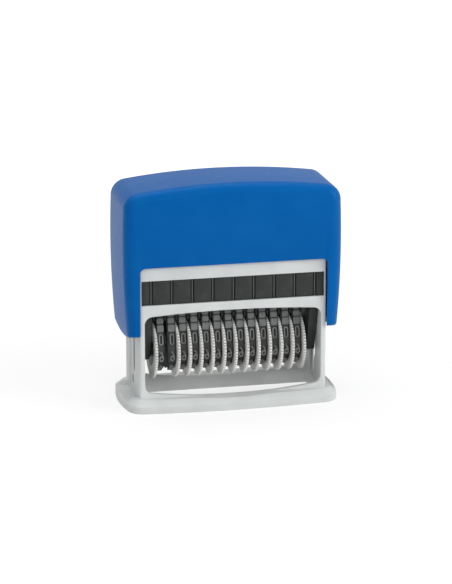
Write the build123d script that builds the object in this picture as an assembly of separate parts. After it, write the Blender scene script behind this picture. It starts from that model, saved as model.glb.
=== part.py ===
from build123d import *
import os

# Self-inking number stamp. Millimetres, +Z up, X along the row of number bands.
# Origin: middle of the foot's underside. The row is read from the front, which is -Y.

# ---- driving dimensions -------------------------------------------------------------

# stroke and flip
travel = 21.0                 # stroke of the cap
type_reach = 7.9              # flip axis to the printing face of the bands
wheel_drop = 10.85            # flip axis to the axle of the thumb wheels

# row of bands and thumb wheels
band_count = 13
band_pitch = 4.0
pair_pitch = 3.8              # between the first two bands, which have no wheel between them
disc_thickness = 1.0
disc_radius = 10.0
band_side_gap = 0.15          # band to the disc beside it
band_base_radius = 5.8        # inside of the loop, round the hub
band_thickness = 1.9          # rubber and raised figures
band_head_half = 3.9          # half the loop's width at the printing face
band_head_corner = 1.3
band_inner_corner = 0.5       # least corner on the inside of the loop
hub_gap = 0.2                 # hub to the inside of the loop
hub_end_gap = 0.1             # hub to the next disc
axle_radius = 1.5
running_gap = 0.06            # shaft in its bore, on the radius

# print unit
plate_gap = 1.15              # outer disc to the side plate
plate_thickness = 2.85
plate_shoulder_rise = 3.0     # widest place of the plate, above the flip axis
plate_wall_gap = 1.7          # shoulder to the frame's front wall
plate_crown_half = 6.5        # half width at the top, level with the bridge
plate_foot_drop = 2.45        # foot of the plate below the axle
plate_foot_half = 4.8
plate_corner = 1.0
plate_boss_radius = 2.6
axle_seat = 1.4               # how deep the axle sits in a plate
bridge_height = 3.9
bridge_seat_gap = 0.05
bridge_peg_radius = 1.2
bridge_peg_length = 1.5
fin_thickness = 0.5
fin_inset = 0.9               # fin edge inside the bands' outer face
fin_disc_gap = 1.0            # foot of a fin above the disc
trunnion_radius = 1.1
cam_radius = 5.0              # flange of the flip cam, let into the side plate
cam_tail_radius = 1.8         # and its tail, over the axle
cam_thickness = 1.2
cam_fit = 0.02
flip_pin_radius = 1.3
flip_pin_offset = 3.5         # flip pin below the flip axis
flip_pin_reach = 0.6          # how far the flip pin enters the groove in the side wall

# frame
plate_side_gap = 0.3          # side plate to the frame's side wall
side_wall = 1.8
disc_wall_gap = 1.1           # disc to the frame's front wall
front_wall = 1.7
frame_edge_radius = 0.8
frame_top_gap = 2.9           # frame's top under the cap's shoulder when the cap is pressed
deck_thickness = 1.6
deck_gap = 0.5                # above the ink drawer's window
slot_gap = 0.2                # each side of the trunnion
slot_end_gap = 0.3
groove_half = 2.7             # narrow lower part of the flip groove
flip_pin_gap = 0.5            # flip pin to the front edge of the wide upper part
groove_drop = 2.9             # foot of the wide part below the middle of the stroke
groove_ramp = 4.5
flip_groove_depth = 0.8       # in the wall's inner face
relief_depth = 0.5            # recess in the wall's outer face
relief_radius = 9.0           # its round part
relief_centre = 3.7           # middle of the round part, behind the trunnion
relief_drop = 0.8             # and below the middle of the stroke
relief_rear = 6.0             # straight rear edge
relief_groove = 3.6           # width of the narrow part, above and below the round one
print_half_depth = 8.0        # opening for the printing face, at the foot's underside
window_disc_gap = 1.75        # lower edge of the window under the discs
window_bar = 4.1              # bar between the window and the ink drawer's window
window_rise = 1.2             # arch of the window's upper edge
window_dip = 2.4              # bow of the window's lower edge
window_corner = 2.8

# foot
foot_end_lap = 2.95           # foot beyond the frame at its corners, before they are rounded
foot_side_lap = 3.35
foot_side_bow = 2.2
foot_end_bow = 2.2
foot_corner = 5.6
foot_top = 4.3
foot_slope_drop = 1.9
foot_slope_run = 2.4
foot_pocket_gap = 0.4         # pressed leg in its pocket, each side
foot_pocket_floor_gap = 0.6

# ink drawer
felt_gap = 0.2                # felt to the printing face
sill_gap = 0.1                # drawer to the frame's sill
drawer_height = 8.3
drawer_top_gap = 0.2
drawer_side_gap = 0.3
drawer_recess = 0.5           # drawer front behind the frame's front
drawer_front_thickness = 1.2
drawer_front_lap = 1.15       # drawer front wider than its body, each end
drawer_front_gap = 0.2
drawer_wall = 1.7
drawer_roof = 3.3
felt_fit = 0.1
rib_pitch = 7.1               # double grooves across the drawer front
rib_pair = 0.8
groove_width = 0.3
groove_depth = 0.4
groove_pairs = 9

# cap
cap_gap = 0.3                 # frame to the inside of the cap
cap_wall = 1.4
cap_over_seat = 3.0           # middle of the cap's top above the spring seats
cap_leg_width = 5.2           # leg beyond the cut-out, at its widest
cap_foot_taper = 1.4          # cap narrower at the legs' feet, each end
cap_shoulder_taper = 0.4      # and at the shoulders
cap_shoulder_drop = 6.0       # shoulder below the top
cap_arch = 2.9                # rise of the top from shoulder to middle
cap_corner = 5.6
cap_leg_corner = 1.2
cap_leg_bow = 2.4             # middle of a leg's lower edge below its ends
cap_edge_radius = 3.6
cap_inner_radius = 0.5        # inside the rims, under the round outer edge
cutout_lip = 0.05             # cut-out wider than the frame, each end
cutout_over_drawer = 4.9
cutout_corner = 2.0
bearing_radius = 2.2
bearing_wall = 0.2            # closed end of the bearing, on the leg's own wall
rib_offset = 7.0
rib_thickness = 1.0
rib_top_drop = 18.0           # top of the guide ribs below the cap's top

# return springs
spring_offset = 18.0
spring_radius = 3.0
spring_wire_radius = 0.35
spring_turns = 8
spring_seat_gap = 0.05
spring_seat_radius = 4.0
spring_pressed_length = 6.4
spring_post_radius = 1.9
spring_post_length = 2.2

# ---- worked out from them -----------------------------------------------------------

flip_z = travel + type_reach
type_z = flip_z + type_reach
wheel_z = flip_z - wheel_drop
hub_radius = band_base_radius - hub_gap
band_width = band_pitch - disc_thickness - 2 * band_side_gap
row_half = ((band_count - 1) * band_pitch + pair_pitch) / 2
bridge_peg_z = type_z - band_thickness - bridge_height / 2

plate_inner = row_half + disc_thickness / 2 + plate_gap
plate_outer = plate_inner + plate_thickness
frame_inner = plate_outer + plate_side_gap
frame_outer = frame_inner + side_wall
frame_inner_depth = disc_radius + disc_wall_gap
frame_half_depth = frame_inner_depth + front_wall
foot_corner_x = frame_outer + foot_end_lap
foot_corner_y = frame_half_depth + foot_side_lap

drawer_z = type_z + felt_gap
sill_z = drawer_z - sill_gap
drawer_window_top = drawer_z + drawer_height + drawer_top_gap
drawer_body_half = frame_inner - drawer_side_gap
drawer_front_half = drawer_body_half + drawer_front_lap
drawer_front_y = frame_half_depth - drawer_recess
deck_z = drawer_window_top + deck_gap
deck_top = deck_z + deck_thickness
window_low = wheel_z - disc_radius - window_disc_gap
window_high = sill_z - window_bar
groove_front = flip_pin_offset + flip_pin_radius + flip_pin_gap
groove_low = flip_z - travel / 2 - groove_drop

spring_seat_z = deck_top + travel + spring_pressed_length
cap_top = spring_seat_z + cap_over_seat
frame_top = cap_top - cap_arch - travel - frame_top_gap
cap_half_depth = frame_half_depth + cap_gap + cap_wall
cap_mid_half_length = frame_outer + cutout_lip + cap_leg_width
cap_foot_half_length = cap_mid_half_length - cap_foot_taper
cap_shoulder_half_length = cap_mid_half_length - cap_shoulder_taper
cap_leg_z = flip_z - bearing_radius
cap_leg_low = cap_leg_z - cap_leg_bow
cutout_top = drawer_window_top + cutout_over_drawer
bearing_start = frame_outer + cutout_lip + cap_gap
bearing_end = cap_foot_half_length - cap_wall
pin_end = bearing_end - bearing_wall - cap_gap


def disc_x(number):
    """Middle of a thumb wheel's disc. Wheel 1 is left of its band, the others right of theirs."""
    if number == 1:
        return -row_half
    return row_half - band_pitch * (band_count - number)


def band_x(number):
    """Middle of a band."""
    if number == 1:
        return disc_x(1) + band_pitch / 2
    return disc_x(number) - band_pitch / 2


def block(x0, x1, y0, y1, z0, z1):
    """A box between two corners."""
    return Pos((x0 + x1) / 2, (y0 + y1) / 2, (z0 + z1) / 2) * Box(x1 - x0, y1 - y0, z1 - z0)


def rod(radius, x0, x1, y, z):
    """A round bar along X."""
    return Pos((x0 + x1) / 2, y, z) * Rot(0, 90, 0) * Cylinder(radius, x1 - x0)


def post(radius, x, y, z0, z1):
    """A round bar along Z."""
    return Pos(x, y, (z0 + z1) / 2) * Cylinder(radius, z1 - z0)


def across(face, x0, x1):
    """Extrude a face drawn in the YZ plane from x0 to x1."""
    return Pos(x0, 0, 0) * extrude(face, amount=x1 - x0)


def mirrored(solid):
    """The same piece at the other end of the row."""
    return mirror(solid, about=Plane.YZ)


def save(node, solid):
    """Write one node."""
    export_step(solid, f"parts/{node}.step")


# ---- frame and foot -----------------------------------------------------------------

def foot_block():
    """Flat foot with four bowed sides, round corners and a sloping top edge."""
    corner = (foot_corner_x, foot_corner_y)
    side = (0, foot_corner_y + foot_side_bow)
    end = (foot_corner_x + foot_end_bow, 0)
    with BuildSketch() as plan:
        with BuildLine():
            ThreePointArc((-corner[0], -corner[1]), (0, -side[1]), (corner[0], -corner[1]))
            ThreePointArc((corner[0], -corner[1]), end, corner)
            ThreePointArc(corner, side, (-corner[0], corner[1]))
            ThreePointArc((-corner[0], corner[1]), (-end[0], 0), (-corner[0], -corner[1]))
        make_face()
        fillet(plan.vertices(), foot_corner)
    solid = extrude(plan.sketch, amount=foot_top)
    rim = solid.edges().group_by(Axis.Z)[-1]
    return chamfer(rim, foot_slope_drop, foot_slope_run)


def window_cut():
    """Window through front and rear, arched above and bowed downwards below."""
    with BuildSketch(Plane.XZ) as outline:
        with BuildLine():
            Line((-frame_inner, window_low), (-frame_inner, window_high))
            ThreePointArc((-frame_inner, window_high), (0, window_high + window_rise),
                          (frame_inner, window_high))
            Line((frame_inner, window_high), (frame_inner, window_low))
            ThreePointArc((frame_inner, window_low), (0, window_low - window_dip),
                          (-frame_inner, window_low))
        make_face()
        fillet(outline.vertices(), window_corner)
    reach = foot_corner_y + foot_side_bow + 1
    return extrude(outline.sketch, amount=reach, both=True)


def slot_cut():
    """Trunnion slot through the right-hand side wall, in the flip groove that the flip pin turns in."""
    half = trunnion_radius + slot_gap
    low = flip_z - travel - trunnion_radius - slot_end_gap
    high = flip_z + trunnion_radius + slot_end_gap
    slot = block(frame_inner - 1, frame_outer + 1, -half, half, low, high)
    groove_top = flip_z + groove_half + slot_end_gap
    groove_foot = flip_z - travel - groove_half - slot_end_gap
    side = [(groove_half, groove_foot), (groove_half, groove_top), (-groove_front, groove_top),
            (-groove_front, groove_low), (-groove_half, groove_low - groove_ramp),
            (-groove_half, groove_foot)]
    shape = Plane.YZ * make_face(Polyline(*side, close=True))
    return slot + across(shape, frame_inner - 1, frame_inner + flip_groove_depth)


def relief_cut():
    """Shallow recess in the outer face of the right-hand side wall, round in front of a straight groove."""
    middle = flip_z - travel / 2 - relief_drop
    with BuildSketch(Plane.YZ) as outline:
        with Locations((relief_centre, middle)):
            Circle(relief_radius)
        low, high = foot_top, middle + relief_radius + relief_groove
        with Locations((relief_rear - relief_groove / 2, (low + high) / 2)):
            Rectangle(relief_groove, high - low)
        with Locations((relief_rear + relief_radius, middle)):
            Rectangle(2 * relief_radius, 2 * relief_radius, mode=Mode.SUBTRACT)
    return across(outline.sketch, frame_outer - relief_depth, frame_outer + 1)


def foot_pocket():
    """Pocket in the foot that the right-hand leg of the cap goes down into."""
    half = cap_leg_half_width(foot_top + travel) + foot_pocket_gap
    floor = cap_leg_low - travel - foot_pocket_floor_gap
    return block(frame_outer, cap_foot_half_length + foot_pocket_gap, -half, half, floor, cap_leg_low)


def print_lips():
    """Slopes inside the front and rear walls, down to the opening for the printing face."""
    side = [(print_half_depth, 0), (frame_inner_depth, 0), (frame_inner_depth, foot_top)]
    shape = Plane.YZ * make_face(Polyline(*side, close=True))
    lip = across(shape, -frame_inner, frame_inner)
    return lip + mirror(lip, about=Plane.XZ)


def base_frame():
    """Foot and open frame in one moulding, with the deck that carries the springs."""
    walls = block(-frame_outer, frame_outer, -frame_half_depth, frame_half_depth, 0, frame_top)
    walls = fillet(walls.edges().filter_by(Axis.Z), frame_edge_radius)
    solid = foot_block() + walls
    solid -= block(-frame_inner, frame_inner, -frame_inner_depth, frame_inner_depth, -1, deck_z)
    solid -= block(-frame_inner, frame_inner, -frame_inner_depth, frame_inner_depth,
                   deck_top, frame_top + 1)
    solid += print_lips()
    solid -= window_cut()
    front_half = drawer_front_half + drawer_front_gap
    solid -= block(-front_half, front_half, -frame_half_depth - 1, -frame_inner_depth,
                   sill_z, drawer_window_top)
    solid -= block(-frame_inner, frame_inner, -frame_half_depth, frame_half_depth + 1,
                   sill_z, drawer_window_top)
    for cut in (slot_cut(), relief_cut(), foot_pocket()):
        solid -= cut
        solid -= mirrored(cut)
    for side in (-1, 1):
        solid += post(spring_post_radius, side * spring_offset, 0, deck_top - deck_thickness / 2,
                      deck_top + spring_post_length)
    return solid


# ---- cap ----------------------------------------------------------------------------

def cap_leg_half_width(z):
    """Half the width of a leg's bowed lower end at a height, front to back."""
    radius = (cap_half_depth ** 2 + cap_leg_bow ** 2) / (2 * cap_leg_bow)
    rise = min(max(z - cap_leg_low, 0), cap_leg_bow)
    return (rise * (2 * radius - rise)) ** 0.5


def leg_end_cut():
    """What lies below the bowed lower ends of the legs."""
    with BuildSketch(Plane.YZ) as outline:
        with BuildLine():
            ThreePointArc((-cap_half_depth, cap_leg_z), (0, cap_leg_low), (cap_half_depth, cap_leg_z))
            Polyline((cap_half_depth, cap_leg_z), (cap_half_depth, cap_leg_low - 1),
                     (-cap_half_depth, cap_leg_low - 1), (-cap_half_depth, cap_leg_z))
        make_face()
    return across(outline.sketch, -cap_mid_half_length, cap_mid_half_length)


def cap_outline(inset, low):
    """Front view of the cap, drawn inside its outer face by the inset."""
    top = cap_top - inset
    shoulder_z = cap_top - cap_shoulder_drop
    foot = (cap_foot_half_length - inset, low)
    shoulder = (cap_shoulder_half_length - inset, top - cap_arch)
    middle = (cap_mid_half_length - inset, (cap_leg_z + shoulder_z) / 2)
    with BuildSketch(Plane.XZ) as outline:
        with BuildLine():
            Line((-foot[0], low), foot)
            ThreePointArc(foot, middle, shoulder)
            ThreePointArc(shoulder, (0, top), (-shoulder[0], shoulder[1]))
            ThreePointArc((-shoulder[0], shoulder[1]), (-middle[0], middle[1]), (-foot[0], low))
        make_face()
        fillet(outline.vertices().group_by(Axis.Y)[-1], cap_corner - inset)
    return outline.sketch


def cap_block(inset, low, rim_radius):
    """Solid pillow of the cap's shape, with its front and rear rims rounded."""
    half = cap_half_depth - inset
    solid = extrude(cap_outline(inset, low), amount=half, both=True)
    rims = [edge for edge in solid.edges() if abs(abs(edge.center().Y) - half) < 0.01
            and edge.center().Z > low + 1]
    return fillet(rims, rim_radius)


def cap_shell():
    """Hollow cap with two legs, bearings for the trunnions, guide ribs and spring seats."""
    outer = cap_block(0, cap_leg_low, cap_edge_radius) - leg_end_cut()
    outer = fillet(outer.faces().sort_by(Axis.Z)[0].edges(), cap_leg_corner)
    hollow = cap_block(cap_wall, cap_leg_low - 5, cap_inner_radius)
    solid = outer - hollow
    details = []
    for side in (-1, 1):
        near, far = sorted((side * bearing_start, side * (bearing_end + cap_wall / 2)))
        details.append(rod(bearing_radius, near, far, 0, flip_z))
        near, far = sorted((side * (frame_outer + cap_gap), side * cap_mid_half_length))
        for rib_y in (-rib_offset, rib_offset):
            details.append(block(near, far, rib_y - rib_thickness / 2, rib_y + rib_thickness / 2,
                                 cap_leg_z + rib_thickness, cap_top - rib_top_drop))
        details.append(post(spring_seat_radius, side * spring_offset, 0, spring_seat_z, cap_top))
        details.append(post(spring_post_radius, side * spring_offset, 0,
                            spring_seat_z - spring_post_length, spring_seat_z))
    for detail in details:
        solid += detail & outer
    half = frame_outer + cutout_lip
    with BuildSketch(Plane.XZ) as outline:
        with Locations((0, cutout_top - cutout_top / 2)):
            Rectangle(2 * half, cutout_top)
        fillet(outline.vertices().group_by(Axis.Y)[-1], cutout_corner)
    solid -= extrude(outline.sketch, amount=cap_half_depth + 1, both=True)
    for side in (-1, 1):
        near, far = sorted((side * (bearing_start - 1), side * (bearing_end - bearing_wall)))
        solid -= rod(trunnion_radius + running_gap, near, far, 0, flip_z)
    return solid


def return_spring(x):
    """Compression spring between the frame's deck and its seat under the cap."""
    low = deck_top + spring_wire_radius + spring_seat_gap
    high = spring_seat_z - spring_wire_radius - spring_seat_gap
    path = Pos(0, 0, low) * Helix((high - low) / spring_turns, high - low, spring_radius)
    wire = Plane(origin=path @ 0, z_dir=path % 0) * Circle(spring_wire_radius)
    return Pos(x, 0, 0) * sweep(wire, path=path, is_frenet=True)


# ---- ink drawer ---------------------------------------------------------------------

def ink_drawer():
    """Tray with its mouth downwards and a grooved front, pulled out to the front."""
    top = drawer_z + drawer_height
    back = frame_half_depth - drawer_recess
    body_front = -drawer_front_y + drawer_front_thickness
    solid = block(-drawer_body_half, drawer_body_half, body_front, back, drawer_z, top)
    solid += block(-drawer_front_half, drawer_front_half, -drawer_front_y, body_front, drawer_z, top)
    solid -= block(-drawer_body_half + drawer_wall, drawer_body_half - drawer_wall,
                   body_front + drawer_wall, back - drawer_wall, drawer_z - 1, top - drawer_roof)
    for pair in range(groove_pairs):
        middle = (pair - (groove_pairs - 1) / 2) * rib_pitch
        for x in (middle - rib_pair / 2, middle + rib_pair / 2):
            solid -= block(x - groove_width / 2, x + groove_width / 2, -drawer_front_y - 1,
                           -drawer_front_y + groove_depth, drawer_z - 1, top + 1)
    return solid


def ink_felt():
    """Felt that fills the tray, its face level with the tray's edge."""
    half = drawer_body_half - drawer_wall - felt_fit
    front = -drawer_front_y + drawer_front_thickness + drawer_wall + felt_fit
    back = frame_half_depth - drawer_recess - drawer_wall - felt_fit
    return block(-half, half, front, back, drawer_z, drawer_z + drawer_height - drawer_roof)


# ---- print unit ---------------------------------------------------------------------

def loop_face(inset):
    """A band's outline in the YZ plane: round the hub below, narrow at the printing face."""
    corner = max(band_head_corner - inset, band_inner_corner)
    head = (band_head_half - inset - corner, type_z - inset - corner)
    with BuildSketch(Plane.YZ) as outline:
        with Locations((0, wheel_z)):
            Circle(band_base_radius + band_thickness - inset)
        with Locations((-head[0], head[1]), head):
            Circle(corner)
        make_hull()
    return outline.sketch


def number_band(number):
    """Closed rubber loop, with the envelope of its raised figures."""
    x0 = band_x(number) - band_width / 2
    x1 = x0 + band_width
    return across(loop_face(0), x0, x1) - across(loop_face(band_thickness), x0 - 1, x1 + 1)


def band_bridge():
    """Bar that the bands run over at the printing face, with a fin between each two bands."""
    top = type_z - band_thickness
    bar_part = block(-plate_inner, plate_inner, -band_head_half, band_head_half,
                     top - bridge_height, top)
    solid = across(loop_face(band_thickness + bridge_seat_gap), -plate_inner, plate_inner) & bar_part
    gaps = [disc_x(number) for number in range(1, band_count + 1)]
    gaps.append((band_x(1) + band_x(2)) / 2)
    fin_part = block(-plate_inner, plate_inner, -disc_radius, disc_radius,
                     wheel_z + disc_radius + fin_disc_gap, type_z)
    for x in gaps:
        solid += across(loop_face(fin_inset), x - fin_thickness / 2, x + fin_thickness / 2) & fin_part
    return solid + rod(bridge_peg_radius, -plate_inner - bridge_peg_length,
                       plate_inner + bridge_peg_length, 0, bridge_peg_z)


def cam_face(fit):
    """Outline of the flip cam in the YZ plane: round at the flip axis, with a tail over the axle."""
    with BuildSketch(Plane.YZ) as outline:
        with Locations((0, flip_z)):
            Circle(cam_radius + fit)
        with Locations((0, wheel_z)):
            Circle(cam_tail_radius + fit)
        make_hull()
    return outline.sketch


def side_plate():
    """Right-hand side plate: it holds the bridge, the axle and the flip cam."""
    top = type_z - band_thickness
    low = wheel_z - plate_foot_drop
    shoulder = (frame_inner_depth - plate_wall_gap, flip_z + plate_shoulder_rise)
    corners = [(-plate_crown_half, top), (plate_crown_half, top), shoulder, (plate_foot_half, low),
               (-plate_foot_half, low), (-shoulder[0], shoulder[1])]
    with BuildSketch(Plane.YZ) as outline:
        with BuildLine():
            Polyline(*corners, close=True)
        make_face()
        fillet(outline.vertices(), plate_corner)
    solid = across(outline.sketch, plate_inner, plate_outer)
    boss_start = row_half + disc_thickness / 2 + band_side_gap
    solid += rod(plate_boss_radius, boss_start, plate_inner + 1, 0, wheel_z)
    solid -= rod(axle_radius, boss_start - 1, plate_inner + axle_seat, 0, wheel_z)
    solid -= rod(bridge_peg_radius, plate_inner - 1, plate_inner + bridge_peg_length, 0, bridge_peg_z)
    return solid - across(cam_face(cam_fit), plate_outer - cam_thickness, plate_outer + 1)


def flip_cam():
    """Right-hand cam: a flange let into the side plate, with the trunnion and the flip pin."""
    solid = across(cam_face(0), plate_outer - cam_thickness, plate_outer)
    pin_tip = frame_inner + flip_pin_reach
    solid += rod(flip_pin_radius, plate_outer, pin_tip, 0, flip_z - flip_pin_offset)
    return solid + rod(trunnion_radius, plate_outer, pin_end, 0, flip_z)


def wheel_axle():
    """Steel rod that the thumb wheels turn on."""
    end = plate_inner + axle_seat
    return rod(axle_radius, -end, end, 0, wheel_z)


def thumb_wheel(number):
    """Disc with the hub that drives its band."""
    middle = disc_x(number)
    solid = rod(disc_radius, middle - disc_thickness / 2, middle + disc_thickness / 2, 0, wheel_z)
    toward_band = 1 if number == 1 else -1
    face = middle + toward_band * disc_thickness / 2
    hub_end = face + toward_band * (band_pitch - disc_thickness - hub_end_gap)
    solid += rod(hub_radius, min(face, hub_end), max(face, hub_end), 0, wheel_z)
    return solid - rod(axle_radius + running_gap, middle - band_pitch, middle + band_pitch, 0, wheel_z)


# ---- write every node ---------------------------------------------------------------

os.makedirs("parts", exist_ok=True)

save("base_frame", base_frame())
save("cap_shell", cap_shell())
save("return_spring_left", return_spring(-spring_offset))
save("return_spring_right", return_spring(spring_offset))
save("ink_drawer", ink_drawer())
save("ink_felt", ink_felt())
save("band_bridge", band_bridge())
save("side_plate_right", side_plate())
save("side_plate_left", mirrored(side_plate()))
save("flip_cam_right", flip_cam())
save("flip_cam_left", mirrored(flip_cam()))
save("wheel_axle", wheel_axle())
for number in range(1, band_count + 1):
    save(f"number_band_{number:02d}", number_band(number))
    save(f"thumb_wheel_{number:02d}", thumb_wheel(number))
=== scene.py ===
import math

import bpy
from mathutils import Matrix, Vector


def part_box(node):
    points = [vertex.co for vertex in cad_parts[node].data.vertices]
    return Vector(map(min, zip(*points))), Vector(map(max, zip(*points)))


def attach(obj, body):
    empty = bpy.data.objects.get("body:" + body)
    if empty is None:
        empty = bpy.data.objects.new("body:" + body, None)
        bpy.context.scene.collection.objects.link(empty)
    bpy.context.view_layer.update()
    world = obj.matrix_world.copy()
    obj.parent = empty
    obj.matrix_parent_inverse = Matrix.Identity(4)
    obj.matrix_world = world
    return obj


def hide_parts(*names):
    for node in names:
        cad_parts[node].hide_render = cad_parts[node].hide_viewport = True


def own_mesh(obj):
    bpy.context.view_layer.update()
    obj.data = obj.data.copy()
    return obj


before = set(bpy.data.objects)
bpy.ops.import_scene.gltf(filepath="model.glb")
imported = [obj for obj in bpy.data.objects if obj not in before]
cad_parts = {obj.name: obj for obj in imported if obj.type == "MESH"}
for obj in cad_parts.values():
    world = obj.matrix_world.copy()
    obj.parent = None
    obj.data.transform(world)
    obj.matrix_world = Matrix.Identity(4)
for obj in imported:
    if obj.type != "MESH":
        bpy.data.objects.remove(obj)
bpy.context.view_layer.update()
bpy.ops.object.select_all(action="DESELECT")

# ---- Table and lamps --------------------------------------------------------------------
# The stamp stands on a white table that runs off into white light, under one wide lamp
# overhead and three smaller ones round its front. The table keeps a faint contact shadow.

view_azimuth = math.radians(-12.667)
view_elevation = math.radians(15.347)
view_distance = 1.0
view_target = Vector((0.000253, 0.0, 0.036662))
view_back = Vector((math.sin(view_azimuth) * math.cos(view_elevation),
                    -math.cos(view_azimuth) * math.cos(view_elevation),
                    math.sin(view_elevation)))
camera_data = bpy.data.cameras.new("camera")
camera_data.lens = 179.71
camera_data.clip_start = 0.05
camera = bpy.data.objects.new("camera", camera_data)
bpy.context.scene.collection.objects.link(camera)
camera.location = view_target + view_back * view_distance
camera.rotation_euler = (-view_back).to_track_quat("-Z", "Y").to_euler()
bpy.context.scene.camera = camera
bpy.context.scene.view_settings.view_transform = "Standard"


class Shade:
    """A socket of a material. Arithmetic on it adds Math nodes, and node() adds any other."""

    def __init__(self, tree, socket=None):
        self.tree = tree
        self.socket = socket

    def node(self, kind, settings=None, inputs=None, out=0):
        """Add a node, its settings first, and give one of its outputs."""
        made = self.tree.nodes.new(kind)
        for name, value in (settings or {}).items():
            setattr(made, name, value)
        for name, value in (inputs or {}).items():
            if isinstance(value, Shade):
                self.tree.links.new(value.socket, made.inputs[name])
            else:
                made.inputs[name].default_value = value
        return Shade(self.tree, made.outputs[out])

    def maths(self, operation, first, second=0.0):
        return self.node("ShaderNodeMath", {"operation": operation}, {0: first, 1: second})

    def __add__(self, other):
        return self.maths("ADD", self, other)

    def __sub__(self, other):
        return self.maths("SUBTRACT", self, other)

    def __rsub__(self, other):
        return self.maths("SUBTRACT", other, self)

    def __mul__(self, other):
        return self.maths("MULTIPLY", self, other)

    __radd__ = __add__
    __rmul__ = __mul__

    def top(self, other):
        """The larger of the two."""
        return self.maths("MAXIMUM", self, other)

    def root(self):
        return self.maths("POWER", self, 0.5)

    def part(self, axis):
        """One of the three parts of a vector, 0 for X to 2 for Z."""
        return self.node("ShaderNodeSeparateXYZ", None, {0: self}, axis)

    def between(self, low, high):
        """0 below low, 1 above high, smooth between them."""
        return self.node("ShaderNodeMapRange", {"interpolation_type": "SMOOTHSTEP"},
                         {0: self, 1: low, 2: high})

    def mix(self, first, second):
        """From the first colour to the second, by this mask."""
        return self.node("ShaderNodeMix", {"data_type": "RGBA"}, {0: self, 6: first, 7: second}, 2)

    def grain(self, place, size, detail=2.0, rough=0.5):
        """Noise whose patches are about this size, in metres."""
        return self.node("ShaderNodeTexNoise", None, {"Vector": place, "Scale": 1.0 / size,
                                                      "Detail": detail, "Roughness": rough})


def rgb(red, green, blue):
    return (red, green, blue, 1.0)


white = rgb(1.0, 1.0, 1.0)

world = bpy.data.worlds.new("studio")
bpy.context.scene.world = world
world.use_nodes = True
world.node_tree.nodes.clear()
sky = Shade(world.node_tree)
ray = world.node_tree.nodes.new("ShaderNodeLightPath")
straight = Shade(world.node_tree, ray.outputs["Is Camera Ray"]).top(
    Shade(world.node_tree, ray.outputs["Is Transmission Ray"]))
mirrored_ray = Shade(world.node_tree, ray.outputs["Is Glossy Ray"])
direction = sky.node("ShaderNodeTexCoord", out=0)
room_front = -0.55
room_back = 0.25
behind = direction.part(1).between(room_front, room_back)
backdrop_strength = 1.05
room_strength = 0.30
mirrored_front = 0.12
mirrored_rise = 0.55
mirrored = mirrored_ray * (behind * mirrored_rise + mirrored_front)
strength = straight * backdrop_strength + (1.0 - straight) * (
    mirrored + (1.0 - mirrored_ray) * room_strength)
room = sky.node("ShaderNodeBackground", None, {"Color": white, "Strength": strength})
world_out = world.node_tree.nodes.new("ShaderNodeOutputWorld")
world.node_tree.links.new(room.socket, world_out.inputs["Surface"])


def lamp(name, place, aim, size, power):
    """A square soft box at a place, turned to what it lights."""
    data = bpy.data.lights.new(name, "AREA")
    data.size = size
    data.energy = power
    made = bpy.data.objects.new(name, data)
    bpy.context.scene.collection.objects.link(made)
    made.location = place
    made.rotation_euler = (Vector(aim) - Vector(place)).to_track_quat("-Z", "Y").to_euler()


lamp("lamp_overhead", (-0.10, 0.05, 0.75), (0, 0, 0.04), 0.7, 3.2)
lamp("lamp_front", (0.05, -0.85, 0.45), (0, 0, 0.04), 0.5, 0.9)
lamp("lamp_left", (-0.55, -0.70, 0.30), (0, 0, 0.03), 0.4, 1.1)
lamp("lamp_right", (0.70, -0.45, 0.30), (0, 0, 0.04), 0.5, 3.9)

table_material = bpy.data.materials.new("white_table")
table_material.use_nodes = True
tree = table_material.node_tree
tree.nodes.clear()
path = tree.nodes.new("ShaderNodeLightPath")
mirrored_share = 0.6          # how much of the table's glow a glossy surface reflects
shadow_share = 0.38           # how much of the table near the stamp takes a shadow
shadow_near = 0.05
shadow_far = 0.30
table_size = 6.0
table_grey = rgb(0.82, 0.82, 0.82)
table_glow = 1.15
seen = Shade(tree, path.outputs["Is Camera Ray"]).top(
    Shade(tree, path.outputs["Is Glossy Ray"]) * mirrored_share)
spot = seen.node("ShaderNodeTexCoord", out=3)
spot_x, spot_y = spot.part(0), spot.part(1)
away = (spot_x * spot_x + spot_y * spot_y).root()
plain = seen.node("ShaderNodeBsdfDiffuse", None, {"Color": table_grey})
glow = seen.node("ShaderNodeEmission", None, {"Color": white, "Strength": table_glow})
table_shader = seen.node("ShaderNodeMixShader", None, {
    0: seen * (away.between(shadow_near, shadow_far) * shadow_share + (1.0 - shadow_share)),
    1: plain, 2: glow})
table_out = tree.nodes.new("ShaderNodeOutputMaterial")
tree.links.new(table_shader.socket, table_out.inputs["Surface"])

bpy.ops.mesh.primitive_plane_add(size=table_size, location=(0, 0, 0))
table = bpy.context.object
table.name = "table"
table.data.materials.append(table_material)
bpy.ops.object.select_all(action="DESELECT")

# ---- Frame and foot ---------------------------------------------------------------------
# One injection moulding in light grey ABS. The mould leaves every outer edge slightly
# round, and the satin surface shows a very fine spark-eroded grain.

keen = math.radians(35)       # edges that turn more than this are rounded
flat = math.radians(0.6)      # faces that turn less than this are made one
weld = 0.000002


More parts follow.
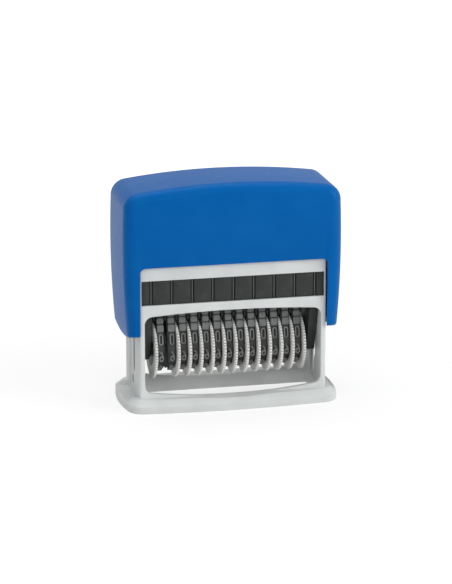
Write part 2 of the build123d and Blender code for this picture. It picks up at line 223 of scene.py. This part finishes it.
def moulded(node, edge):
    """The CAD piece as one welded mesh, with its sharp edges rounded as a mould leaves them."""
    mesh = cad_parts[node].data.copy()
    piece = bpy.data.objects.new(node + "_moulded", mesh)
    bpy.context.scene.collection.objects.link(piece)
    bpy.context.view_layer.objects.active = piece
    piece.select_set(True)
    bpy.ops.mesh.customdata_custom_splitnormals_clear()
    bpy.ops.object.mode_set(mode="EDIT")
    bpy.ops.mesh.select_all(action="SELECT")
    bpy.ops.mesh.remove_doubles(threshold=weld)
    bpy.ops.mesh.dissolve_limited(angle_limit=flat)
    bpy.ops.object.mode_set(mode="OBJECT")
    bevel = piece.modifiers.new("edge", "BEVEL")
    bevel.width = edge
    bevel.segments = 2
    bevel.limit_method = "ANGLE"
    bevel.angle_limit = keen
    bevel.miter_outer = "MITER_ARC"
    bpy.ops.object.modifier_apply(modifier="edge")
    bpy.ops.object.shade_smooth_by_angle(angle=keen)
    piece.data.materials.clear()
    piece.select_set(False)
    return piece


def finish(name, colour, roughness, bump=None, bump_height=0.0, specular=0.5, metallic=0.0,
           tint=white):
    """A material with one Principled surface, from what its colour, roughness and bump are."""
    material = bpy.data.materials.new(name)
    material.use_nodes = True
    tree = material.node_tree
    tree.nodes.clear()
    start = Shade(tree)
    place = start.node("ShaderNodeTexCoord", out=3)
    inputs = {"Base Color": colour(start, place), "Roughness": roughness(start, place),
              "Specular IOR Level": specular, "Specular Tint": tint, "Metallic": metallic}
    if bump:
        inputs["Normal"] = start.node("ShaderNodeBump", None, {
            "Strength": 1.0, "Distance": bump_height, "Height": bump(start, place)})
    surface = start.node("ShaderNodeBsdfPrincipled", None, inputs)
    out = tree.nodes.new("ShaderNodeOutputMaterial")
    tree.links.new(surface.socket, out.inputs["Surface"])
    return material


frame_grey = rgb(0.680, 0.702, 0.695)
frame_shade = rgb(0.630, 0.650, 0.643)
frame_plastic = finish(
    "frame_plastic",
    lambda s, p: s.grain(p, 0.012, 3.0).between(0.35, 0.65).mix(frame_grey, frame_shade),
    lambda s, p: s.grain(p, 0.0015, 3.0) * 0.10 + 0.38,
    lambda s, p: s.grain(p, 0.00012, 2.0), 0.000004, specular=0.4)

base_frame = moulded("base_frame", 0.00022)
base_frame.data.materials.append(frame_plastic)
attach(base_frame, "base")
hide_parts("base_frame")

# ---- Cap --------------------------------------------------------------------------------
# Hollow push cap in blue ABS, moulded in one with its two legs. Its corners are drawn round
# and it is finished smooth, with the lower edges only just broken.

cap_blue = rgb(0.0012, 0.104, 0.370)
cap_worn = rgb(0.0022, 0.110, 0.383)
cap_shine = rgb(0.10, 0.45, 1.0)
cap_plastic = finish(
    "cap_plastic",
    lambda s, p: s.grain(p, 0.009, 3.0).between(0.4, 0.7).mix(cap_blue, cap_worn),
    lambda s, p: s.grain(p, 0.002, 3.0) * 0.10 + 0.34,
    lambda s, p: s.grain(p, 0.00015, 2.0), 0.000003, specular=0.25, tint=cap_shine)

cap_shell = moulded("cap_shell", 0.0003)
cap_shell.data.materials.append(cap_plastic)
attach(cap_shell, "cap")
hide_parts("cap_shell")

# ---- Ink drawer -------------------------------------------------------------------------
# Black tray that slides in under the deck and holds the ink felt face down. Its grooved
# front gives the finger a grip.

drawer_black = rgb(0.025, 0.029, 0.028)
drawer_rubbed = rgb(0.034, 0.038, 0.037)
# the grooves' near-black is painted shade, and the ridge's lighter grey is a painted highlight
groove_painted_shade = rgb(0.003, 0.004, 0.004)
ridge_painted_highlight = rgb(0.085, 0.095, 0.090)
groove_pitch = 0.0071
groove_start = 20.5           # whole pitches and a half, so that the count never goes below 0
groove_left = -0.00062
groove_right = 0.00080
ridge_half = 0.00020
groove_soft = 0.00008
groove_reach = 0.0011         # how far behind the front the grooves are still drawn
reach_soft = 0.0001
groove_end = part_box("ink_drawer")[0][1] + groove_reach


def plain_black(s, p):
    return s.grain(p, 0.004, 3.0).between(0.45, 0.75).mix(drawer_black, drawer_rubbed)


def drawer_colour(s, p):
    """Paired grooves on the front in painted shade, a painted highlight on the ridge of each pair.
    """
    front = 1.0 - p.part(1).between(groove_end - reach_soft, groove_end)
    pitches = p.part(0) * (1.0 / groove_pitch) + groove_start
    from_pair = (s.maths("FRACT", pitches) - 0.5) * groove_pitch
    pair = from_pair.between(groove_left, groove_left + groove_soft) * (
        1.0 - from_pair.between(groove_right - groove_soft, groove_right))
    ridge = from_pair.between(-ridge_half, groove_soft - ridge_half) * (
        1.0 - from_pair.between(ridge_half - groove_soft, ridge_half))
    # painted shade over each pair of grooves, then a painted highlight on the ridge between them
    grooved = (pair * front).mix(plain_black(s, p), groove_painted_shade)
    return (ridge * front).mix(grooved, ridge_painted_highlight)


def black_gloss(s, p):
    return s.grain(p, 0.0012, 3.0) * 0.12 + 0.42


def black_grain(s, p):
    return s.grain(p, 0.00010, 2.0)


black_plastic = finish("black_plastic", plain_black, black_gloss, black_grain, 0.000004,
                       specular=0.35)
drawer_plastic = finish("drawer_plastic", drawer_colour, black_gloss, black_grain, 0.000004,
                        specular=0.35)

ink_drawer = moulded("ink_drawer", 0.00012)
ink_drawer.data.materials.append(drawer_plastic)
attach(ink_drawer, "ink_pad")
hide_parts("ink_drawer")

# ---- Ink felt ---------------------------------------------------------------------------
# Pressed wool felt, cut to the tray and soaked with black ink. Its edges are soft, and the
# face that the figures dip into is a little uneven.

felt_low, felt_high = (Vector(corner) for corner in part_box("ink_felt"))
felt_size = felt_high - felt_low
felt_edge = 0.0004
felt_nap = 0.00008

bpy.ops.mesh.primitive_cube_add(size=1.0)
ink_felt = bpy.context.object
ink_felt.name = "ink_felt_pad"
ink_felt.data.transform(Matrix.Translation((felt_low + felt_high) / 2) @ Matrix.Diagonal(
    (felt_size.x - 2 * felt_nap, felt_size.y - 2 * felt_nap, felt_size.z - 2 * felt_nap, 1.0)))
bpy.ops.object.mode_set(mode="EDIT")
bpy.ops.mesh.bevel(offset=felt_edge, segments=2, affect="EDGES")
bpy.ops.mesh.select_all(action="SELECT")
bpy.ops.mesh.subdivide(number_cuts=24)
bpy.ops.transform.vertex_random(offset=felt_nap, uniform=0.5, normal=0.5, seed=3)
bpy.ops.object.mode_set(mode="OBJECT")
bpy.ops.object.shade_smooth_by_angle(angle=math.radians(50))
felt_black = rgb(0.010, 0.010, 0.013)
felt_fibre = rgb(0.035, 0.035, 0.045)
ink_felt.data.materials.append(finish(
    "inked_felt",
    lambda s, p: s.grain(p, 0.0006, 4.0, 0.7).between(0.35, 0.75).mix(felt_black, felt_fibre),
    lambda s, p: s.grain(p, 0.003) * 0.3 + 0.6,
    lambda s, p: s.grain(p, 0.00025, 4.0, 0.8), 0.00012, specular=0.25))
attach(ink_felt, "ink_pad")
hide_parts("ink_felt")
bpy.ops.object.select_all(action="DESELECT")

# ---- Print unit: side plates and bridge -------------------------------------------------
# Black side plates hold the axle and the bridge, the bar that the bands run over at the
# printing face. Thin fins on the bridge keep the bands apart.

for node, edge in (("side_plate_left", 0.00018), ("side_plate_right", 0.00018),
                   ("band_bridge", 0.00008)):
    piece = moulded(node, edge)
    piece.data.materials.append(black_plastic)
    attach(piece, "print_unit")
    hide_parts(node)

# ---- Print unit: flip cams and axle -----------------------------------------------------
# The cams are let into the side plates, and their pins run in the grooves of the side walls.
# The thumb wheels turn on one ground steel rod.

wheel_warm = rgb(0.800, 0.797, 0.765)
wheel_pale = rgb(0.850, 0.847, 0.820)


def plain_warm(s, p):
    return s.grain(p, 0.004, 3.0).between(0.35, 0.7).mix(wheel_warm, wheel_pale)


def warm_gloss(s, p):
    return s.grain(p, 0.0015, 3.0) * 0.12 + 0.36


def warm_grain(s, p):
    return s.grain(p, 0.00015, 2.0)


cam_plastic = finish("cam_plastic", plain_warm, warm_gloss, warm_grain, 0.000004, specular=0.4)

for node in ("flip_cam_left", "flip_cam_right"):
    piece = moulded(node, 0.00012)
    piece.data.materials.append(cam_plastic)
    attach(piece, "print_unit")
    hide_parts(node)

steel_bright = rgb(0.62, 0.62, 0.63)
steel_dull = rgb(0.50, 0.50, 0.51)
axle_steel = finish(
    "axle_steel",
    lambda s, p: s.grain(p, 0.002, 3.0).between(0.4, 0.7).mix(steel_bright, steel_dull),
    lambda s, p: s.grain(p, 0.0005, 3.0) * 0.15 + 0.24,
    lambda s, p: s.grain(p, 0.00008, 2.0), 0.000002, metallic=1.0)
wheel_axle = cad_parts["wheel_axle"]
wheel_axle.data.materials.clear()
wheel_axle.data.materials.append(axle_steel)

# ---- Thumb wheels -----------------------------------------------------------------------
# Thirteen serrated discs in warm grey acetal, each with the hub that its band runs on. All
# come from one tool, but the first is turned round, so that its band lies to its right.

wheel_count = 13
axle_z = 0.01805
bore = 0.00156
hub_end = -0.0034
hub_radius = 0.0056
band_inside = 0.0058          # the band's loop round the hub
disc_radius = 0.0100
disc_half = 0.0005
web_half = 0.00042            # the disc inside its rim is a little thinner
tooth_count = 58
steps_per_tooth = 6
tooth_shape = {0: 0.945, 1: 0.965, 2: 0.993, 4: 0.993, 5: 0.965}
tooth_foot = 0.0099
bead_half = 0.00029
wheel_profile = ((hub_end, bore), (hub_end, 0.0054), (-0.0032, hub_radius),
                 (-web_half, hub_radius), (-web_half, 0.0089),
                 (-disc_half, 0.0090), (-disc_half, 0.0092),
                 (-0.00044, 0.0096), (-bead_half, disc_radius), (bead_half, disc_radius),
                 (0.00044, 0.0096), (disc_half, 0.0092), (disc_half, 0.0090),
                 (web_half, 0.0089), (web_half, 0.0032), (web_half, bore))
# the beads' lighter colour is a painted highlight on the tooth tips, the notches' grey painted
# shade
bead_painted_highlight = rgb(0.880, 0.885, 0.865)
notch_painted_shade = rgb(0.470, 0.470, 0.450)
hub_grey = rgb(0.090, 0.092, 0.090)
bead_foot = 0.0096
bead_start = 0.0098


def wheel_colour(s, p):
    """Warm grey; painted highlights on the rim's beads, painted shade in its notches; inky on the
    hub.
    """
    notch = s.node("ShaderNodeAttribute", {"attribute_name": "notch"}, out=2)
    across = p.part(1)
    up = p.part(2) - axle_z
    out = (across * across + up * up).root()
    # painted highlight on the beads, painted shade deeper in the notches
    rim = notch.between(0.05, 0.9).mix(bead_painted_highlight, notch_painted_shade)
    disc = out.between(bead_foot, bead_start).top(notch.between(0.0, 0.3)).mix(
        plain_warm(s, p), rim)
    return out.between(band_inside - 0.0001, band_inside).mix(hub_grey, disc)


wheel_plastic = finish("wheel_plastic", wheel_colour, warm_gloss, warm_grain, 0.000004,
                       specular=0.4)


def turned(name, profile, sides):
    """A ring about the X axis: a circle drawn through each place along the axis and radius."""
    bpy.ops.mesh.primitive_circle_add(vertices=sides, radius=profile[0][1])
    piece = bpy.context.object
    piece.name = name
    piece.data.transform(Matrix.Translation((profile[0][0], 0, 0)) @ Matrix.Rotation(
        math.radians(90), 4, "Y"))
    bpy.ops.object.mode_set(mode="EDIT")
    bpy.ops.mesh.select_all(action="SELECT")
    for before, after in zip(profile, profile[1:] + profile[:1]):
        bpy.ops.mesh.extrude_edges_move(
            TRANSFORM_OT_translate={"value": (after[0] - before[0], 0, 0)})
        grow = after[1] / before[1]
        bpy.ops.transform.resize(value=(1, grow, grow), center_override=(after[0], 0, 0))
    bpy.ops.mesh.select_all(action="SELECT")
    bpy.ops.mesh.remove_doubles(threshold=weld)
    bpy.ops.mesh.normals_make_consistent(inside=False)
    bpy.ops.object.mode_set(mode="OBJECT")
    return piece


wheel_form = turned("wheel_form", wheel_profile, tooth_count * steps_per_tooth)
wheel_form.data.attributes.new("notch", "FLOAT", "POINT")
for step, grow in tooth_shape.items():
    notch = wheel_form.data.attributes["notch"].data
    for vertex in wheel_form.data.vertices:
        x, y, z = vertex.co
        turn = math.atan2(z, y) / math.tau * tooth_count * steps_per_tooth
        vertex.select = round(turn) % steps_per_tooth == step and math.hypot(y, z) > tooth_foot
        if vertex.select:
            notch[vertex.index].value = (1.0 - grow) / (1.0 - tooth_shape[0])
    for edge in wheel_form.data.edges:
        edge.select = False
    for face in wheel_form.data.polygons:
        face.select = False
    bpy.ops.object.mode_set(mode="EDIT")
    bpy.ops.mesh.select_mode(type="VERT")
    bpy.ops.transform.resize(value=(1, grow, grow), center_override=(0, 0, 0))
    bpy.ops.object.mode_set(mode="OBJECT")
bpy.ops.object.shade_smooth_by_angle(angle=math.radians(38))

for number in range(1, wheel_count + 1):
    node = f"thumb_wheel_{number:02d}"
    low, high = (Vector(corner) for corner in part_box(node))
    disc_middle = low.x + disc_half if number == 1 else high.x - disc_half
    wheel = bpy.data.objects.new(node + "_serrated", wheel_form.data.copy())
    bpy.context.scene.collection.objects.link(wheel)
    wheel.data.transform(Matrix.Translation((disc_middle, 0, (low.z + high.z) / 2)) @
                         Matrix.Rotation(math.radians(180 if number == 1 else 0), 4, "Z"))
    wheel.data.materials.append(wheel_plastic)
    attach(wheel, node)
    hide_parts(node)
bpy.data.objects.remove(wheel_form)
bpy.ops.object.select_all(action="DESELECT")

# ---- Number bands -----------------------------------------------------------------------
# Endless rubber bands with the figures 0 to 9 and blank blocks moulded on their outside,
# made flat here and then laid round the hub and the bridge. The raised faces are rubbed pale.

band_wide = 0.0027
band_base = 0.0011            # plain rubber under the figures
figure_top = 0.0019
figure_wide = 0.00155
figure_tall = 0.0038
figure_stroke = 0.00034
block_top = 0.0016
block_wide = 0.0023
block_corner = 0.00045
sunk = 0.0001                 # the raised parts start this deep in the plain rubber
head_y = 0.0015
head_z = 0.0344
head_r = 0.0005
neutral = 0.0005              # height in the rubber that keeps its length when it bends
lean = math.atan2(head_y, head_z - axle_z)
apart = math.hypot(head_y, head_z - axle_z)
slant = math.asin((band_inside - head_r) / apart) - lean
straight_run = math.sqrt(apart ** 2 - (band_inside - head_r) ** 2)
hub_turn = math.pi + 2 * slant
head_turn = math.pi / 2 - slant
hub_run = hub_turn * (band_inside + neutral)
head_run = head_turn * (head_r + neutral)
band_run = 2 * straight_run + hub_run + 2 * head_run + 2 * head_y


def round_loop(run, height):
    """Where a place on the flat band comes to lie, going down the front from the head."""
    run %= band_run
    if run < straight_run:
        turn = math.pi - slant
        reach = head_r + height
        return (-head_y + reach * math.cos(turn) - run * math.sin(slant),
                head_z + reach * math.sin(turn) - run * math.cos(slant))
    run -= straight_run
    if run < hub_run:
        turn = math.pi - slant + run / (band_inside + neutral)
        reach = band_inside + height
        return (reach * math.cos(turn), axle_z + reach * math.sin(turn))
    run -= hub_run
    if run < straight_run:
        reach = band_inside + height
        return (reach * math.cos(slant) - run * math.sin(slant),
                axle_z + reach * math.sin(slant) + run * math.cos(slant))
    run -= straight_run
    reach = head_r + height
    if run < head_run:
        turn = slant + run / (head_r + neutral)
        return (head_y + reach * math.cos(turn), head_z + reach * math.sin(turn))
    run -= head_run
    if run < 2 * head_y:
        return (head_y - run, head_z + reach)
    turn = math.pi / 2 + (run - 2 * head_y) / (head_r + neutral)
    return (-head_y + reach * math.cos(turn), head_z + reach * math.sin(turn))


def flat_base():
    """The plain band, flat: across in X, along in Y. Its ends and its top are left open."""
    bpy.ops.mesh.primitive_grid_add(x_subdivisions=1, y_subdivisions=132, size=1.0)
    piece = bpy.context.object
    piece.data.transform(Matrix.Translation((0, band_run / 2, 0)) @ Matrix.Diagonal(
        (band_wide, band_run, 1.0, 1.0)))
    bpy.ops.object.mode_set(mode="EDIT")
    bpy.ops.mesh.select_all(action="SELECT")
    bpy.ops.mesh.extrude_region_move(TRANSFORM_OT_translate={"value": (0, 0, band_base)})
    bpy.ops.object.mode_set(mode="OBJECT")
    for face in piece.data.polygons:
        face.select = abs(face.normal.y) > 0.9
    bpy.ops.object.mode_set(mode="EDIT")
    bpy.ops.mesh.delete(type="FACE")
    bpy.ops.object.mode_set(mode="OBJECT")
    return piece


def raised_block(middle, length, wide, top, corner):
    """A low block with its upright edges rounded."""
    bpy.ops.mesh.primitive_cube_add(size=1.0)
    piece = bpy.context.object
    low = band_base - sunk
    piece.data.transform(Matrix.Translation((0, middle, (low + top) / 2)) @ Matrix.Diagonal(
        (wide, length, top - low, 1.0)))
    bpy.ops.object.mode_set(mode="EDIT")
    bpy.ops.mesh.select_mode(type="EDGE")
    bpy.ops.object.mode_set(mode="OBJECT")
    for face in piece.data.polygons:
        face.select = False
    for edge in piece.data.edges:
        ends = [piece.data.vertices[i].co for i in edge.vertices]
        edge.select = abs(ends[0].z - ends[1].z) > 0.0001
    bpy.ops.object.mode_set(mode="EDIT")
    bpy.ops.mesh.bevel(offset=corner, segments=3, affect="EDGES")
    bpy.ops.object.mode_set(mode="OBJECT")
    return piece


def nought():
    """The figure 0: a long narrow ring."""
    sides = 20
    bpy.ops.mesh.primitive_circle_add(vertices=sides, radius=figure_wide / 2, fill_type="NGON")
    piece = bpy.context.object
    for vertex in piece.data.vertices:
        vertex.co.y += math.copysign((figure_tall - figure_wide) / 2, vertex.co.y)
    bpy.ops.object.mode_set(mode="EDIT")
    bpy.ops.mesh.select_all(action="SELECT")
    bpy.ops.mesh.inset(thickness=figure_stroke)
    bpy.ops.mesh.delete(type="FACE")
    bpy.ops.mesh.select_all(action="SELECT")
    bpy.ops.mesh.extrude_region_move(
        TRANSFORM_OT_translate={"value": (0, 0, figure_top - band_base + sunk)})
    bpy.ops.object.mode_set(mode="OBJECT")
    return piece


def figure(digit):
    """A raised figure from 1 to 9, cut across into strips so that it bends with the band."""
    bpy.ops.object.text_add()
    bpy.context.object.data.body = digit
    bpy.context.object.data.resolution_u = 3
    bpy.context.object.data.extrude = 0.1
    bpy.ops.object.convert(target="MESH")
    piece = bpy.context.object
    xs = [v.co.x for v in piece.data.vertices]
    ys = [v.co.y for v in piece.data.vertices]
    zs = [v.co.z for v in piece.data.vertices]
    middle = Vector(((min(xs) + max(xs)) / 2, (min(ys) + max(ys)) / 2, min(zs)))
    wide = figure_wide * (0.6 if digit == "1" else 1.0)
    piece.data.transform(Matrix.Diagonal(
        (wide / (max(xs) - min(xs)), figure_tall / (max(ys) - min(ys)),
         (figure_top - band_base + sunk) / (max(zs) - min(zs)), 1.0))
        @ Matrix.Translation(-middle))
    bpy.ops.object.mode_set(mode="EDIT")
    for share in (-0.3, -0.1, 0.1, 0.3):
        bpy.ops.mesh.select_all(action="SELECT")
        bpy.ops.mesh.bisect(plane_co=(0, share * figure_tall, 0), plane_no=(0, 1, 0))
    bpy.ops.object.mode_set(mode="OBJECT")
    return piece


# place of each figure below the 0, and of each gap between the blank blocks above it
nought_place = 0.0123
figure_places = {"9": 0.0055, "8": 0.0106, "7": 0.0149, "6": 0.0192, "5": 0.0235,
                 "4": 0.0278, "3": 0.0321, "2": 0.0364, "1": 0.0407}
block_gaps = (0.0024, 0.0052, 0.0075, 0.0098)
block_gap = 0.0004
flat_parts = [flat_base()]
zero = nought()
zero.data.transform(Matrix.Translation((0, nought_place, band_base - sunk)))
flat_parts.append(zero)
hub_shrink = (band_inside + neutral) / (band_inside + figure_top)
for digit, place in figure_places.items():
    mark = figure(digit)
    on_hub = straight_run < nought_place + place < straight_run + hub_run
    mark.data.transform(Matrix.Translation((0, nought_place + place, band_base - sunk))
                        @ Matrix.Diagonal((1.0, hub_shrink if on_hub else 1.0, 1.0, 1.0)))
    flat_parts.append(mark)
for near, far in zip(block_gaps, block_gaps[1:]):
    flat_parts.append(raised_block(nought_place - (near + far) / 2, far - near - block_gap,
                                   block_wide, block_top, block_corner))
flat_parts.append(raised_block(band_run - head_run - head_y, 2 * head_y, block_wide, block_top,
                               block_corner))
bpy.ops.object.select_all(action="DESELECT")
for part in flat_parts:
    part.select_set(True)
bpy.context.view_layer.objects.active = flat_parts[0]
bpy.ops.object.join()
band_form = bpy.context.object
band_form.name = "band_form"
raised = band_form.data.attributes.new("raised", "FLOAT", "POINT")
for vertex in band_form.data.vertices:
    raised.data[vertex.index].value = (vertex.co.z - band_base) / (figure_top - band_base)
    y, z = round_loop(vertex.co.y, vertex.co.z)
    vertex.co = (vertex.co.x, y, z)
bpy.ops.object.mode_set(mode="EDIT")
bpy.ops.mesh.select_all(action="SELECT")
bpy.ops.mesh.remove_doubles(threshold=weld)
bpy.ops.mesh.normals_make_consistent(inside=False)
bpy.ops.object.mode_set(mode="OBJECT")
bpy.ops.object.shade_smooth_by_angle(angle=math.radians(32))

rubber_dark = rgb(0.115, 0.122, 0.119)
rubber_pale = rgb(0.270, 0.280, 0.277)


def rubber_colour(s, p):
    height = s.node("ShaderNodeAttribute", {"attribute_name": "raised"}, out=2)
    dusty = s.grain(p, 0.0012, 3.0).between(0.3, 0.7) * 0.35 + 0.65
    return (height.between(0.15, 1.0) * dusty).mix(rubber_dark, rubber_pale)


band_rubber = finish(
    "band_rubber", rubber_colour, lambda s, p: s.grain(p, 0.001, 3.0) * 0.2 + 0.5,
    lambda s, p: s.grain(p, 0.0002, 3.0), 0.00001, specular=0.3)

for number in range(1, wheel_count + 1):
    node = f"number_band_{number:02d}"
    low, high = (Vector(corner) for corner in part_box(node))
    band = bpy.data.objects.new(node + "_figured", band_form.data.copy())
    bpy.context.scene.collection.objects.link(band)
    band.data.transform(Matrix.Translation(((low.x + high.x) / 2, 0, 0)))
    band.data.materials.clear()
    band.data.materials.append(band_rubber)
    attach(band, "print_unit")
    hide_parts(node)
bpy.data.objects.remove(band_form)
bpy.ops.object.select_all(action="DESELECT")

# ---- Return springs ---------------------------------------------------------------------
# Two compression springs of drawn steel wire stand on the deck and lift the cap. The end
# turns are closed; the others would draw together as the cap goes down, but each coil is
# built once at its rest length and rides with the cap.

wire = 0.00035
coil = 0.0030
open_turns = 8
closed_pitch = 0.00072
points_per_turn = 16
deck_top = 0.0476
seat_z = 0.0750
spring_gap = 0.00005
spring_steel = finish(
    "spring_steel",
    lambda s, p: s.grain(p, 0.001, 3.0).between(0.4, 0.7).mix(steel_bright, steel_dull),
    lambda s, p: s.grain(p, 0.0004, 3.0) * 0.15 + 0.30,
    lambda s, p: s.grain(p, 0.00006, 2.0), 0.000002, metallic=1.0)

low_z = deck_top + wire + spring_gap
open_pitch = (seat_z - wire - spring_gap - low_z - 2 * closed_pitch) / open_turns
spring_points = []
rise = low_z
for count in range((open_turns + 2) * points_per_turn + 1):
    angle = count / points_per_turn * math.tau
    spring_points.append((coil * math.cos(angle), coil * math.sin(angle), rise))
    closed = not points_per_turn <= count < (open_turns + 1) * points_per_turn
    rise += (closed_pitch if closed else open_pitch) / points_per_turn

for node in ("return_spring_left", "return_spring_right"):
    low, high = (Vector(corner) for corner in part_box(node))
    middle_x = (low.x + high.x) / 2
    line = bpy.data.curves.new(node + "_wire", "CURVE")
    line.dimensions = "3D"
    line.bevel_depth = wire
    line.bevel_resolution = 2
    line.use_fill_caps = True
    spline = line.splines.new("POLY")
    spline.points.add(len(spring_points) - 1)
    for point, (x, y, z) in zip(spline.points, spring_points):
        point.co = (middle_x + x, y, z, 1.0)
    spring = bpy.data.objects.new(node + "_wire", line)
    bpy.context.scene.collection.objects.link(spring)
    bpy.context.view_layer.objects.active = spring
    spring.select_set(True)
    bpy.ops.object.convert(target="MESH")
    bpy.ops.object.shade_smooth()
    spring.data.materials.append(spring_steel)
    spring.select_set(False)
    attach(spring, "cap")
    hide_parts(node)
    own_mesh(spring)
